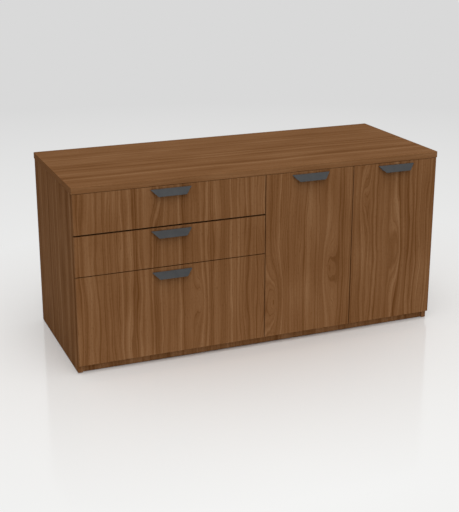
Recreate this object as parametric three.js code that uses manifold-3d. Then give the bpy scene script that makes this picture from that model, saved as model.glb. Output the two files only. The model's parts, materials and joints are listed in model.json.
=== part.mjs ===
// Office credenza: a free-standing cabinet with three drawers on the left and two doors on the right.
// Millimetres. +X to the right seen from the front, +Y to the back, +Z up.
// The origin lies on the floor, under the middle of the overall box.
import * as THREE from "three";
import { mergeVertices } from "three/addons/utils/BufferGeometryUtils.js";
import Module from "manifold-3d";

const wasm = await Module();
wasm.setup();

// Overall size
const TOP_WIDTH = 1524;
const TOP_DEPTH = 605;
const HEIGHT = 730;
const TOP_THICKNESS = 25.4;
const TOP_EASE = 2;
const TOP_CORNER_RADIUS = 4;
const SIDE_OVERHANG = 2.5;
const FRONT_OVERHANG = 1;
const BACK_OVERHANG = 2;

// Boards
const CARCASS_BOARD = 19;
const BACK_BOARD = 16;
const TOE_BOARD = 16;
const FRONT_BOARD = 16;
const DRAWER_BOARD = 12.7;
const DRAWER_BOTTOM = 6;
const FRONT_EASE = 1;
const PANEL_EASE = 0.8;

// Fronts and base
const FRONT_GAP = 3;
const TOP_GAP = 1;
const UPPER_DRAWER_GAP = 6;
const END_REVEAL = 1.5;
const BUMPER_GAP = 2;
const FRONTS_BOTTOM = 36;
const FLOOR_GAP = 3;
const TOE_RECESS = 7;
const BOX_FRONT_HEIGHT = 154;

// Drawer boxes
const BOX_SIDE_HEIGHT = 110;
const FILE_SIDE_HEIGHT = 250;
const DRAWER_LENGTH = 500;
const DRAWER_FLOOR_CLEARANCE = 7;
const DRAWER_BACK_DROP = 12;
const GROOVE_RISE = 12;
const GROOVE_DEPTH = 6;
const GROOVE_PLAY = 0.4;

// Ball-bearing slides
const SLIDE_SPACE = 12.7;
const SLIDE_HEIGHT = 45.7;
const SLIDE_SHEET = 1.2;
const SLIDE_SETBACK = 3;
const SLIDE_FLANGE = 9.8;
const SLIDE_LIP = 2;
const BALL_SPACE = 3.2;
const RUNNER_STANDOFF = 2.2;
const RUNNER_FLANGE = 8.8;
const FILE_MEMBER_FLANGE = 8;
const BOX_SLIDE_RISE = 50;
const FILE_SLIDE_RISE = 110;

// Folded sheet pulls
const PULL_TOP_WIDTH = 160;
const PULL_BOTTOM_WIDTH = 108;
const PULL_PROJECTION = 24;
const PULL_SLOPE = 52 * (Math.PI / 180);
const PULL_SHEET = 2.5;
const PULL_BEND_RADIUS = 3.5;
const PULL_BACK_LEG = 21;
const PULL_BELOW_TOP = 10;
const FILE_PULL_BELOW_TOP = 15;
const DRAWER_PULL_OFFSET = 5;

// Shelf and its supports
const SHELF_SIDE_CLEARANCE = 1;
const SHELF_SETBACK = 25;
const SHELF_BACK_CLEARANCE = 5;
const PIN_PITCH = 32;
const PIN_HOLES = 7;
const SHELF_HOLE = 3;
const PIN_ROW_INSET = 69;
const PIN_DIAMETER = 5;
const PIN_LENGTH = 8;
const PIN_HOLE_DEPTH = 10;
const PIN_CLEARANCE = 0.15;
const SUPPORT_LENGTH = 10;
const SUPPORT_WIDTH = 10;

// Levellers under the cabinet floor
const LEVELLER_INSET = 60;
const FOOT_RADIUS = 14;
const FOOT_HEIGHT = 6;
const FOOT_CHAMFER = 1;
const FOOT_SHOULDER = 2;
const STEM_RADIUS = 4;
const STEM_SHOWING = 7.5;
const SOCKET_RADIUS = 11;
const SOCKET_FLANGE_RADIUS = 20;
const SOCKET_FLANGE = 3;

// Concealed cup hinges. Distances u run from the door's hinged edge, distances v from its face.
const HINGE_INSET = 100;
const CUP_RADIUS = 17.5;
const CUP_EDGE = 4;
const CUP_DEPTH = 12.5;
const CUP_WALL = 1;
const BORE_CLEARANCE = 0.1;
const CUP_FLANGE = 1.2;
const CUP_RIM = 2;
const CUP_WING_SPAN = 62;
const CUP_WING_WIDTH = 18;
const ARM_PIVOT_U = 29;
const ARM_PIVOT_V = 20;
const CUP_PIVOT_U = 9;
const CUP_PIVOT_V = 10;
const PIVOT_PIN_RADIUS = 1.5;
const PIVOT_CLEARANCE = 0.25;
const EYE_RADIUS = 2.6;
const LINK_SHEET = 2.4;
const LINK_WIDTH = 12;
const LINK_CLEARANCE = 0.5;
const LINK_TURN = 120 * (Math.PI / 180);
const CRANK_CLEARANCE = 1.2;
const ARM_SHEET = 1.5;
const ARM_TIP_RADIUS = 3.4;
const ARM_LENGTH = 60;
const ARM_DEPTH = 6.5;
const PLATE_SETBACK = 37;
const PLATE_LENGTH = 24;
const PLATE_WING_LENGTH = 16;
const PLATE_WING_SPAN = 52;
const PLATE_WING = 4;

// Facets of round shapes, the grid and weld of corners, and how far a cut runs past the face it opens
const ROUND = 32;
const SMALL_ROUND = 12;
const BEND_STEPS = 6;
const EASE_STEPS = 2;
const SNAP = 1024;
const WELD = 1e-4;
const OVERRUN = 1;

// Places that follow from the sizes above
const pullBeyondTop = PULL_PROJECTION - FRONT_OVERHANG;
const topFront = pullBeyondTop - (TOP_DEPTH + pullBeyondTop) / 2;
const topBack = topFront + TOP_DEPTH;
const topUnder = HEIGHT - TOP_THICKNESS;
const faceY = topFront + FRONT_OVERHANG;
const frontBackY = faceY + FRONT_BOARD;
const carcassFront = frontBackY + BUMPER_GAP;
const carcassBack = topBack - BACK_OVERHANG;
const backPanelFront = carcassBack - BACK_BOARD;
const endOuter = TOP_WIDTH / 2 - SIDE_OVERHANG;
const endInner = endOuter - CARCASS_BOARD;
const dividerHalf = CARCASS_BOARD / 2;
const frontsOuter = endOuter - END_REVEAL;
const frontsTop = topUnder - TOP_GAP;
const cabinetFloorTop = FRONTS_BOTTOM + CARCASS_BOARD;
const boxRowsHeight = 2 * BOX_FRONT_HEIGHT + UPPER_DRAWER_GAP + FRONT_GAP;
const fileFrontHeight = frontsTop - FRONTS_BOTTOM - boxRowsHeight;
const drawerLift = CARCASS_BOARD + DRAWER_FLOOR_CLEARANCE;
const doorWidth = (frontsOuter - FRONT_GAP / 2 - FRONT_GAP) / 2;
const cupCentreU = CUP_EDGE + CUP_RADIUS;

function finish(color, roughness, metalness) {
  return new THREE.MeshStandardMaterial({ color, roughness, metalness });
}
const walnutTop = () => finish(0x7d5537, 0.42, 0);
const walnutFront = () => finish(0x77502f, 0.48, 0);
const walnutPanel = () => finish(0x6c472b, 0.5, 0);
const walnutBase = () => finish(0x5c3c24, 0.55, 0);
const drawerBoard = () => finish(0xb9a58a, 0.6, 0);
const charcoalMetal = () => finish(0x4e5052, 0.38, 0.6);
const zincSteel = () => finish(0xa9adb0, 0.35, 0.9);
const blackPlastic = () => finish(0x1f1f20, 0.6, 0);

// Solids
function solidOf(geometry) {
  const bare = geometry.clone();
  bare.deleteAttribute("normal");
  bare.deleteAttribute("uv");
  const welded = mergeVertices(bare, WELD);
  const corners = welded.index.array;
  const kept = [];
  for (let i = 0; i < corners.length; i += 3) {
    const [a, b, c] = corners.slice(i, i + 3);
    if (a !== b && b !== c && c !== a) kept.push(a, b, c);
  }
  const mesh = new wasm.Mesh({
    numProp: 3,
    vertProperties: welded.attributes.position.array,
    triVerts: new Uint32Array(kept),
  });
  return new wasm.Manifold(mesh);
}

// Corners sit on one fine grid, so that faces which touch share the same numbers.
function geometryOf(solid) {
  const made = solid.getMesh();
  const places = made.vertProperties.map((value) => Math.round(value * SNAP) / SNAP);
  const geometry = new THREE.BufferGeometry();
  geometry.setAttribute("position", new THREE.BufferAttribute(places, 3));
  geometry.setIndex(new THREE.BufferAttribute(made.triVerts, 1));
  geometry.computeVertexNormals();
  return geometry;
}

function fused(first, ...others) {
  return others.reduce((whole, piece) => whole.add(piece), first);
}

function cut(body, ...tools) {
  return tools.reduce((left, tool) => left.subtract(tool), body);
}

// Axes of an outline's own plane, then the direction it is drawn out along.
const PLANES = {
  x: [new THREE.Vector3(0, 1, 0), new THREE.Vector3(0, 0, 1), new THREE.Vector3(1, 0, 0)],
  y: [new THREE.Vector3(0, 0, 1), new THREE.Vector3(1, 0, 0), new THREE.Vector3(0, 1, 0)],
  z: [new THREE.Vector3(1, 0, 0), new THREE.Vector3(0, 1, 0), new THREE.Vector3(0, 0, 1)],
};

function drawnOut(axis, shape, from, to, ease = 0) {
  const geometry = new THREE.ExtrudeGeometry(shape, {
    depth: to - from - 2 * ease,
    steps: 1,
    curveSegments: ROUND / 4,
    bevelEnabled: ease > 0,
    bevelThickness: ease,
    bevelSize: ease,
    bevelOffset: -ease,
    bevelSegments: EASE_STEPS,
  });
  geometry.translate(0, 0, from + ease);
  geometry.applyMatrix4(new THREE.Matrix4().makeBasis(...PLANES[axis]));
  return solidOf(geometry);
}

function outline(points) {
  return new THREE.Shape(points.map(([a, b]) => new THREE.Vector2(a, b)));
}

function rectangle(a0, a1, b0, b1) {
  return outline([
    [a0, b0],
    [a1, b0],
    [a1, b1],
    [a0, b1],
  ]);
}

function roundedRectangle(a0, a1, b0, b1, radius) {
  const shape = new THREE.Shape();
  shape.moveTo(a0 + radius, b0);
  shape.absarc(a1 - radius, b0 + radius, radius, -Math.PI / 2, 0);
  shape.absarc(a1 - radius, b1 - radius, radius, 0, Math.PI / 2);
  shape.absarc(a0 + radius, b1 - radius, radius, Math.PI / 2, Math.PI);
  shape.absarc(a0 + radius, b0 + radius, radius, Math.PI, 1.5 * Math.PI);
  return shape;
}

function block(x, y, z) {
  return drawnOut("z", rectangle(x[0], x[1], y[0], y[1]), z[0], z[1]);
}

function rod(axis, radius, centre, from, to, facets) {
  const geometry = new THREE.CylinderGeometry(radius, radius, to - from, facets);
  geometry.rotateX(Math.PI / 2);
  geometry.translate(centre[0], centre[1], (from + to) / 2);
  geometry.applyMatrix4(new THREE.Matrix4().makeBasis(...PLANES[axis]));
  return solidOf(geometry);
}

const credenza = new THREE.Group();
credenza.name = "office_credenza";

function piece(name, solid, material) {
  const mesh = new THREE.Mesh(geometryOf(solid), material);
  mesh.name = name;
  credenza.add(mesh);
}

// Carcass
const pinRows = [carcassFront + PIN_ROW_INSET, backPanelFront - PIN_ROW_INSET];
const shelfMiddle = (cabinetFloorTop + topUnder) / 2;
const pinHoleHeight = (index) => shelfMiddle + (index - SHELF_HOLE) * PIN_PITCH;

// Two rows of blind holes for shelf pins, bored from x0 to x1.
function pinHoles(x0, x1) {
  const holes = [];
  const radius = PIN_DIAMETER / 2 + PIN_CLEARANCE;
  for (const y of pinRows) {
    for (let index = 0; index < PIN_HOLES; index += 1) {
      holes.push(rod("x", radius, [y, pinHoleHeight(index)], x0, x1, SMALL_ROUND));
    }
  }
  return holes;
}

const endShape = rectangle(carcassFront, carcassBack, FLOOR_GAP, topUnder);
const leftEnd = drawnOut("x", endShape, -endOuter, -endInner, PANEL_EASE);
const rightEnd = drawnOut("x", endShape, endInner, endOuter, PANEL_EASE);
const rightHoles = pinHoles(endInner, endInner + PIN_HOLE_DEPTH);
const dividerHoles = pinHoles(dividerHalf - PIN_HOLE_DEPTH, dividerHalf);

const topHalf = TOP_WIDTH / 2;
const topShape = roundedRectangle(-topHalf, topHalf, topFront, topBack, TOP_CORNER_RADIUS);
piece("top_panel", drawnOut("z", topShape, topUnder, HEIGHT, TOP_EASE), walnutTop());
piece("left_end_panel", leftEnd, walnutPanel());
piece("right_end_panel", cut(rightEnd, ...rightHoles), walnutPanel());
const acrossInside = [-endInner, endInner];
const insideDepth = [carcassFront, backPanelFront];
const dividerBoard = block([-dividerHalf, dividerHalf], insideDepth, [cabinetFloorTop, topUnder]);
piece("centre_divider", cut(dividerBoard, ...dividerHoles), walnutPanel());
const backHeight = [FLOOR_GAP, topUnder];
piece("back_panel", block(acrossInside, [backPanelFront, carcassBack], backHeight), walnutPanel());
const floorHeight = [FRONTS_BOTTOM, cabinetFloorTop];
piece("cabinet_floor", block(acrossInside, insideDepth, floorHeight), walnutPanel());
const toeFront = carcassFront + TOE_RECESS;
const toeDepth = [toeFront, toeFront + TOE_BOARD];
piece("toe_kick_rail", block(acrossInside, toeDepth, [FLOOR_GAP, FRONTS_BOTTOM]), walnutBase());

// Shelf on four pins, each with a flat tongue under the board
function shelfWithSupports() {
  const pinHeight = pinHoleHeight(SHELF_HOLE);
  const pinRadius = PIN_DIAMETER / 2;
  const under = pinHeight + pinRadius;
  const left = dividerHalf + SHELF_SIDE_CLEARANCE;
  const right = endInner - SHELF_SIDE_CLEARANCE;
  const depth = [carcassFront + SHELF_SETBACK, backPanelFront - SHELF_BACK_CLEARANCE];
  const shape = rectangle(left, right, depth[0], depth[1]);
  const supports = [];
  for (const y of pinRows) {
    const across = [y - SUPPORT_WIDTH / 2, y + SUPPORT_WIDTH / 2];
    const tongueHeight = [pinHeight - pinRadius, under];
    const inLeft = dividerHalf - PIN_LENGTH;
    const inRight = endInner + PIN_LENGTH;
    supports.push(block([left, left + SUPPORT_LENGTH], across, tongueHeight));
    supports.push(block([right - SUPPORT_LENGTH, right], across, tongueHeight));
    supports.push(rod("x", pinRadius, [y, pinHeight], inLeft, left + SUPPORT_LENGTH, SMALL_ROUND));
    supports.push(rod("x", pinRadius, [y, pinHeight], right - SUPPORT_LENGTH, inRight, SMALL_ROUND));
  }
  return fused(drawnOut("z", shape, under, under + CARCASS_BOARD, PANEL_EASE), ...supports);
}
piece("adjustable_shelf", shelfWithSupports(), walnutPanel());

// Levellers
function leveller(x, y) {
  const socketBottom = FOOT_HEIGHT + STEM_SHOWING;
  const profile = [
    [0, 0],
    [FOOT_RADIUS - FOOT_CHAMFER, 0],
    [FOOT_RADIUS, FOOT_CHAMFER],
    [FOOT_RADIUS, FOOT_HEIGHT - FOOT_SHOULDER],
    [STEM_RADIUS, FOOT_HEIGHT],
    [STEM_RADIUS, socketBottom],
    [SOCKET_RADIUS, socketBottom],
    [SOCKET_RADIUS, FRONTS_BOTTOM - SOCKET_FLANGE],
    [SOCKET_FLANGE_RADIUS, FRONTS_BOTTOM - SOCKET_FLANGE],
    [SOCKET_FLANGE_RADIUS, FRONTS_BOTTOM],
    [0, FRONTS_BOTTOM],
  ];
  const points = profile.map(([r, z]) => new THREE.Vector2(r, z));
  const geometry = new THREE.LatheGeometry(points, ROUND / 2);
  geometry.rotateX(Math.PI / 2);
  geometry.translate(x, y, 0);
  return solidOf(geometry);
}
const levellerX = endInner - LEVELLER_INSET;
for (const [row, y] of [
  ["front", toeFront + TOE_BOARD + LEVELLER_INSET],
  ["back", backPanelFront - LEVELLER_INSET],
]) {
  piece(`leveller_${row}_left`, leveller(-levellerX, y), blackPlastic());
  piece(`leveller_${row}_right`, leveller(levellerX, y), blackPlastic());
}

// Pull folded from one sheet: a flat leg on the front, a tight bend, and a leg that slopes out.
function pull(centreX, top) {
  const bend = [PULL_BEND_RADIUS, top - PULL_BEND_RADIUS];
  const inner = PULL_BEND_RADIUS - PULL_SHEET;
  const slant = [Math.cos(PULL_SLOPE), -Math.sin(PULL_SLOPE)];
  const outward = [Math.sin(PULL_SLOPE), Math.cos(PULL_SLOPE)];
  const reach = (PULL_PROJECTION - bend[0] - PULL_BEND_RADIUS * outward[0]) / slant[0];
  const legEnd = (radius) => [
    bend[0] + radius * outward[0] + reach * slant[0],
    bend[1] + radius * outward[1] + reach * slant[1],
  ];
  const arc = (radius, step) => {
    const angle = Math.PI - (step / BEND_STEPS) * (Math.PI / 2 + PULL_SLOPE);
    return [bend[0] + radius * Math.cos(angle), bend[1] + radius * Math.sin(angle)];
  };
  const steps = Array.from({ length: BEND_STEPS + 1 }, (_, step) => step);
  const bottom = legEnd(inner)[1];
  const profile = [
    [0, top - PULL_BACK_LEG],
    ...steps.map((step) => arc(PULL_BEND_RADIUS, step)),
    legEnd(PULL_BEND_RADIUS),
    legEnd(inner),
    ...steps.reverse().map((step) => arc(inner, step)),
    [PULL_SHEET, top - PULL_BACK_LEG],
  ];
  const section = outline(profile.map(([out, z]) => [faceY - out, z]));
  const half = PULL_TOP_WIDTH / 2;
  const strip = drawnOut("x", section, centreX - half, centreX + half);
  const trapezoid = outline([
    [top, centreX - half],
    [top, centreX + half],
    [bottom, centreX + PULL_BOTTOM_WIDTH / 2],
    [bottom, centreX - PULL_BOTTOM_WIDTH / 2],
  ]);
  const foremost = faceY - PULL_PROJECTION - OVERRUN;
  return strip.intersect(drawnOut("y", trapezoid, foremost, faceY));
}

// One member of a slide: a channel along Y. Its web stands at x, and its flanges point to the given side.
function channel(x, side, flange, halfHeight, lip, z, y) {
  const innerHeight = halfHeight - SLIDE_SHEET;
  const lipped = [
    [flange - SLIDE_SHEET, innerHeight],
    [flange - SLIDE_SHEET, halfHeight - lip],
    [flange, halfHeight - lip],
  ];
  const upper = [
    [SLIDE_SHEET, innerHeight],
    ...(lip > 0 ? lipped : [[flange, innerHeight]]),
    [flange, halfHeight],
    [0, halfHeight],
  ];
  const lower = upper.map(([across, height]) => [across, -height]).reverse();
  const section = [...upper, ...lower].map(([across, height]) => [z + height, x + side * across]);
  return drawnOut("y", outline(section), y[0], y[1]);
}

const outerHalf = SLIDE_HEIGHT / 2;
const middleHalf = outerHalf - SLIDE_SHEET - BALL_SPACE;
const innerHalf = middleHalf - SLIDE_SHEET - BALL_SPACE;

// Slides at one side of a drawer. The panel face stands at x, and the drawer lies to the given side.
function slides(name, x, side, z, fullExtension) {
  const cabinetY = [carcassFront + SLIDE_SETBACK, carcassFront + SLIDE_SETBACK + DRAWER_LENGTH];
  const drawerY = [frontBackY + SLIDE_SETBACK, frontBackY + DRAWER_LENGTH];
  const drawerX = x + side * SLIDE_SPACE;
  const outer = channel(x, side, SLIDE_FLANGE, outerHalf, SLIDE_LIP, z, cabinetY);
  piece(`${name}_slide_cabinet_member`, outer, zincSteel());
  if (fullExtension) {
    const runnerX = x + side * RUNNER_STANDOFF;
    const runner = channel(runnerX, side, RUNNER_FLANGE, middleHalf, 0, z, cabinetY);
    piece(`${name}_slide_runner`, runner, zincSteel());
  }
  const flange = fullExtension ? FILE_MEMBER_FLANGE : SLIDE_FLANGE;
  const half = fullExtension ? innerHalf : middleHalf;
  const member = channel(drawerX, -side, flange, half, 0, z, drawerY);
  piece(`${name}_slide_drawer_member`, member, zincSteel());
}

// A drawer: a front that closes the box, two grooved sides, a back, and a bottom held in the grooves.
function drawer(name, bottom, height, sideHeight, slideRise, fullExtension) {
  const sideBottom = bottom + drawerLift;
  const sideTop = sideBottom + sideHeight;
  const left = -endInner + SLIDE_SPACE;
  const right = -dividerHalf - SLIDE_SPACE;
  const length = [frontBackY, frontBackY + DRAWER_LENGTH];
  const grooveBottom = sideBottom + GROOVE_RISE;
  const grooveTop = grooveBottom + DRAWER_BOTTOM + GROOVE_PLAY;
  const innerLeft = left + DRAWER_BOARD;
  const innerRight = right - DRAWER_BOARD;
  const groove = block(
    [innerLeft - GROOVE_DEPTH, innerRight + GROOVE_DEPTH],
    [frontBackY - GROOVE_DEPTH, length[1] + OVERRUN],
    [grooveBottom, grooveTop],
  );
  const frontX = [-frontsOuter, -FRONT_GAP / 2];
  const frontShape = rectangle(bottom, bottom + height, frontX[0], frontX[1]);
  const front = drawnOut("y", frontShape, faceY, frontBackY, FRONT_EASE);
  piece(`${name}_drawer_front`, cut(front, groove), walnutFront());
  const sideSpan = [sideBottom, sideTop];
  const leftSide = block([left, innerLeft], length, sideSpan);
  const rightSide = block([innerRight, right], length, sideSpan);
  piece(`${name}_drawer_left_side`, cut(leftSide, groove), drawerBoard());
  piece(`${name}_drawer_right_side`, cut(rightSide, groove), drawerBoard());
  const backSpan = [grooveBottom + DRAWER_BOTTOM, sideTop - DRAWER_BACK_DROP];
  const back = block([innerLeft, innerRight], [length[1] - DRAWER_BOARD, length[1]], backSpan);
  piece(`${name}_drawer_back`, back, drawerBoard());
  const hold = GROOVE_DEPTH - GROOVE_PLAY;
  const base = block(
    [innerLeft - hold, innerRight + hold],
    [frontBackY - hold, length[1]],
    [grooveBottom, grooveBottom + DRAWER_BOTTOM],
  );
  piece(`${name}_drawer_bottom`, base, drawerBoard());
  const pullTop = bottom + height - (fullExtension ? FILE_PULL_BELOW_TOP : PULL_BELOW_TOP);
  const pullMiddle = (frontX[0] + frontX[1]) / 2 - DRAWER_PULL_OFFSET;
  piece(`${name}_drawer_pull`, pull(pullMiddle, pullTop), charcoalMetal());
  slides(`${name}_drawer_left`, -endInner, 1, sideBottom + slideRise, fullExtension);
  slides(`${name}_drawer_right`, -dividerHalf, -1, sideBottom + slideRise, fullExtension);
}

const middleBottom = FRONTS_BOTTOM + fileFrontHeight + FRONT_GAP;
const upperBottom = middleBottom + BOX_FRONT_HEIGHT + UPPER_DRAWER_GAP;
drawer("top", upperBottom, BOX_FRONT_HEIGHT, BOX_SIDE_HEIGHT, BOX_SLIDE_RISE, false);
drawer("middle", middleBottom, BOX_FRONT_HEIGHT, BOX_SIDE_HEIGHT, BOX_SLIDE_RISE, false);
drawer("file", FRONTS_BOTTOM, fileFrontHeight, FILE_SIDE_HEIGHT, FILE_SLIDE_RISE, true);

// Shapes in a hinge's own plan, at height z on the door whose hinged edge is at edgeX. Side 1 opens to the
// right of that edge.
function hingePlan(edgeX, side, z) {
  const place = ([u, v]) => [edgeX + side * u, faceY + v];
  const plate = (points, low, high) => drawnOut("z", outline(points.map(place)), z + low, z + high);
  const slab = (u, v, half) => {
    const near = place([u[0], v[0]]);
    const far = place([u[1], v[1]]);
    return drawnOut("z", rectangle(near[0], far[0], near[1], far[1]), z - half, z + half);
  };
  const pin = (pivot, radius, half) => rod("z", radius, place(pivot), z - half, z + half, SMALL_ROUND);
  const cupX = edgeX + side * cupCentreU;
  const round = (radius, from, to) => rod("y", radius, [z, cupX], frontBackY + from, frontBackY + to, ROUND);
  const wings = (length, width) => {
    const across = [cupX - width / 2, cupX + width / 2];
    return roundedRectangle(z - length / 2, z + length / 2, across[0], across[1], width / 4);
  };
  return { plate, slab, pin, round, wings };
}

const armPivot = [ARM_PIVOT_U, ARM_PIVOT_V];
const cupPivot = [CUP_PIVOT_U, CUP_PIVOT_V];
const linkHalf = LINK_WIDTH / 2;
const cheek = linkHalf + LINK_CLEARANCE;

// Arm of a hinge: a channel on a plate fixed to the panel, with a pin through its tip.
function hingeArm({ plate, slab, pin }, panelFace) {
  const armHalf = cheek + ARM_SHEET;
  const armFace = ARM_PIVOT_U + ARM_TIP_RADIUS;
  const armBack = armFace - ARM_DEPTH - ARM_SHEET;
  const armEnd = ARM_PIVOT_V + ARM_LENGTH;
  const tip = [];
  for (let step = 0; step <= SMALL_ROUND / 2; step += 1) {
    const angle = Math.PI + (step / (SMALL_ROUND / 2)) * Math.PI;
    tip.push([
      ARM_PIVOT_U + ARM_TIP_RADIUS * Math.cos(angle),
      ARM_PIVOT_V + ARM_TIP_RADIUS * Math.sin(angle),
    ]);
  }
  const armNeck = ARM_PIVOT_V + 2 * ARM_TIP_RADIUS;
  const cheekOutline = [...tip, [armFace, armEnd], [armBack, armEnd], [armBack, armNeck]];
  const doorBack = FRONT_BOARD + BUMPER_GAP;
  const plateMiddle = doorBack + PLATE_SETBACK;
  const plateSpan = [plateMiddle - PLATE_LENGTH / 2, plateMiddle + PLATE_LENGTH / 2];
  const wingSpan = [plateMiddle - PLATE_WING_LENGTH / 2, plateMiddle + PLATE_WING_LENGTH / 2];
  return fused(
    plate(cheekOutline, -armHalf, -cheek),
    plate(cheekOutline, cheek, armHalf),
    slab([armFace - ARM_SHEET, armFace], [armNeck, armEnd], armHalf),
    slab([panelFace, armFace], plateSpan, armHalf),
    slab([panelFace, panelFace + PLATE_WING], wingSpan, PLATE_WING_SPAN / 2),
    pin(armPivot, PIVOT_PIN_RADIUS, armHalf),
  );
}

// Link of a hinge: a strip cranked around the door's edge, as that edge stands to it when the door is open.
function hingeLink({ plate, pin }) {
  const eye = (pivot) => pin(pivot, EYE_RADIUS, linkHalf);
  const fromLink = ([u, v]) => {
    const spoke = new THREE.Vector2(u - CUP_PIVOT_U, v - CUP_PIVOT_V);
    spoke.rotateAround(new THREE.Vector2(), -LINK_TURN);
    return [CUP_PIVOT_U + spoke.x, CUP_PIVOT_V + spoke.y];
  };
  const stand = LINK_SHEET / 2 + CRANK_CLEARANCE;
  const boreEdge = cupCentreU - Math.sqrt(CUP_RADIUS ** 2 - linkHalf ** 2);
  const spine = [
    cupPivot,
    fromLink([boreEdge + stand, FRONT_BOARD]),
    fromLink([boreEdge, FRONT_BOARD + stand]),
    fromLink([0, FRONT_BOARD + stand]),
    armPivot,
  ];
  const strips = [];
  for (let index = 1; index < spine.length; index += 1) {
    const [u0, v0] = spine[index - 1];
    const [u1, v1] = spine[index];
    const scale = LINK_SHEET / 2 / Math.hypot(u1 - u0, v1 - v0);
    const [du, dv] = [(v0 - v1) * scale, (u1 - u0) * scale];
    const strip = [
      [u0 + du, v0 + dv],
      [u1 + du, v1 + dv],
      [u1 - du, v1 - dv],
      [u0 - du, v0 - dv],
    ];
    strips.push(plate(strip, -linkHalf, linkHalf));
    strips.push(pin(spine[index], LINK_SHEET / 2, linkHalf));
  }
  const pinHole = (pivot) => pin(pivot, PIVOT_PIN_RADIUS + PIVOT_CLEARANCE, LINK_WIDTH);
  const body = fused(eye(cupPivot), eye(armPivot), ...strips);
  return cut(body, pinHole(cupPivot), pinHole(armPivot));
}

// Cup of a hinge: pressed into the door's back, with two wings, a cut-out for the link, and a pin across.
function hingeCup({ slab, pin, round, wings }) {
  const wingShape = wings(CUP_WING_SPAN, CUP_WING_WIDTH);
  const wingPlate = drawnOut("y", wingShape, frontBackY, frontBackY + CUP_FLANGE);
  const notchSpan = [CUP_PIVOT_V, FRONT_BOARD + 2 * CUP_FLANGE];
  const notch = slab([0, CUP_PIVOT_U], notchSpan, cheek + LINK_CLEARANCE);
  const barrel = round(CUP_RADIUS, -CUP_DEPTH, 0);
  const shell = fused(barrel, wingPlate, round(CUP_RADIUS + CUP_RIM, 0, CUP_FLANGE));
  const hollow = round(CUP_RADIUS - CUP_WALL, CUP_WALL - CUP_DEPTH, 2 * CUP_FLANGE);
  const cupPin = pin(cupPivot, PIVOT_PIN_RADIUS, CUP_RADIUS).intersect(barrel);
  return fused(cut(shell, hollow, notch), cupPin);
}

// The three pieces of one hinge. Gives back the bore that its cup sits in.
function hinge(name, edgeX, side, panelFace, z) {
  const plan = hingePlan(edgeX, side, z);
  piece(`${name}_hinge_arm`, hingeArm(plan, panelFace), zincSteel());
  piece(`${name}_hinge_link`, hingeLink(plan), zincSteel());
  piece(`${name}_hinge_cup`, hingeCup(plan), zincSteel());
  return plan.round(CUP_RADIUS + BORE_CLEARANCE, -CUP_DEPTH - BORE_CLEARANCE, OVERRUN);
}

// A door, bored for its two hinges.
function door(name, x, edgeX, side, panelFace) {
  const heights = [
    ["lower", FRONTS_BOTTOM + HINGE_INSET],
    ["upper", frontsTop - HINGE_INSET],
  ];
  const bores = heights.map(([level, z]) => hinge(`${name}_${level}`, edgeX, side, panelFace, z));
  const shape = rectangle(FRONTS_BOTTOM, frontsTop, x[0], x[1]);
  const board = drawnOut("y", shape, faceY, frontBackY, FRONT_EASE);
  piece(name, cut(board, ...bores), walnutFront());
  piece(`${name}_pull`, pull((x[0] + x[1]) / 2, frontsTop - PULL_BELOW_TOP), charcoalMetal());
}
const leftEdge = FRONT_GAP / 2;
door("left_door", [leftEdge, leftEdge + doorWidth], leftEdge, 1, dividerHalf - leftEdge);
door("right_door", [frontsOuter - doorWidth, frontsOuter], frontsOuter, -1, frontsOuter - endInner);

export default credenza;
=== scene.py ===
import json
import math

import bmesh
import bpy
from mathutils import Matrix, Vector


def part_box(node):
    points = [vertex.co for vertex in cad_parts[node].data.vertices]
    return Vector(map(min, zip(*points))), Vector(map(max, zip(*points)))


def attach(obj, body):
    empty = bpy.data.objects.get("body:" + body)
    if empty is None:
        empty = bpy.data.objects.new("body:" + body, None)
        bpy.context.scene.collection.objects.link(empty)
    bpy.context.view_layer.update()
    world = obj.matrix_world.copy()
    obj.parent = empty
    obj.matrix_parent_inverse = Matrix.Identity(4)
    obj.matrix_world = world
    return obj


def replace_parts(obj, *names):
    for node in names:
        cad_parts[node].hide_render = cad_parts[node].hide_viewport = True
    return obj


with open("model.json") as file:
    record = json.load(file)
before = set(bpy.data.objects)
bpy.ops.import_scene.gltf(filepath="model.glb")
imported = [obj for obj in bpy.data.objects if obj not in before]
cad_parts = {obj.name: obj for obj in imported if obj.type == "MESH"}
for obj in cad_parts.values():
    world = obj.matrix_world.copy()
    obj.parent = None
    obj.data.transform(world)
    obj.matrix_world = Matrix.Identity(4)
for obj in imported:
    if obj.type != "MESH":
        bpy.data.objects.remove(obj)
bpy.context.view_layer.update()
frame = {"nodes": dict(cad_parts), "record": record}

bl_info = {
    "name": "Office credenza",
    "version": (1, 1, 0),
    "blender": (4, 5, 0),
    "location": "3D View > Sidebar > Credenza",
    "description": "Dresses a laminate credenza with three drawers and two doors, and sets its studio",
    "category": "Object",
}

NODES = frame["nodes"]
BODY_OF = {
    node: body
    for body, members in frame["record"]["behaviour"]["bodies"].items()
    for node in members
}
MM = 0.001
IMAGE_WIDTH = 459
IMAGE_HEIGHT = 512

DRAWERS = ("top", "middle", "file")
DOORS = ("left_door", "right_door")
FRONTS = [f"{row}_drawer_front" for row in DRAWERS] + list(DOORS)
HINGES = [f"{door}_{level}_hinge" for door in DOORS for level in ("lower", "upper")]
LEVELLERS = [f"leveller_{row}_{side}" for row in ("front", "back") for side in ("left", "right")]


def linear(code):
    """The linear RGB of an sRGB hex colour."""
    parts = [int(code[i:i + 2], 16) / 255 for i in (0, 2, 4)]
    return tuple(p / 12.92 if p <= 0.04045 else ((p + 0.055) / 1.055) ** 2.4 for p in parts)


def colour(code, label, description):
    """A colour property whose default is an sRGB hex colour."""
    return bpy.props.FloatVectorProperty(
        name=label, description=description, subtype="COLOR", size=3, min=0, max=1, default=linear(code)
    )


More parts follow.
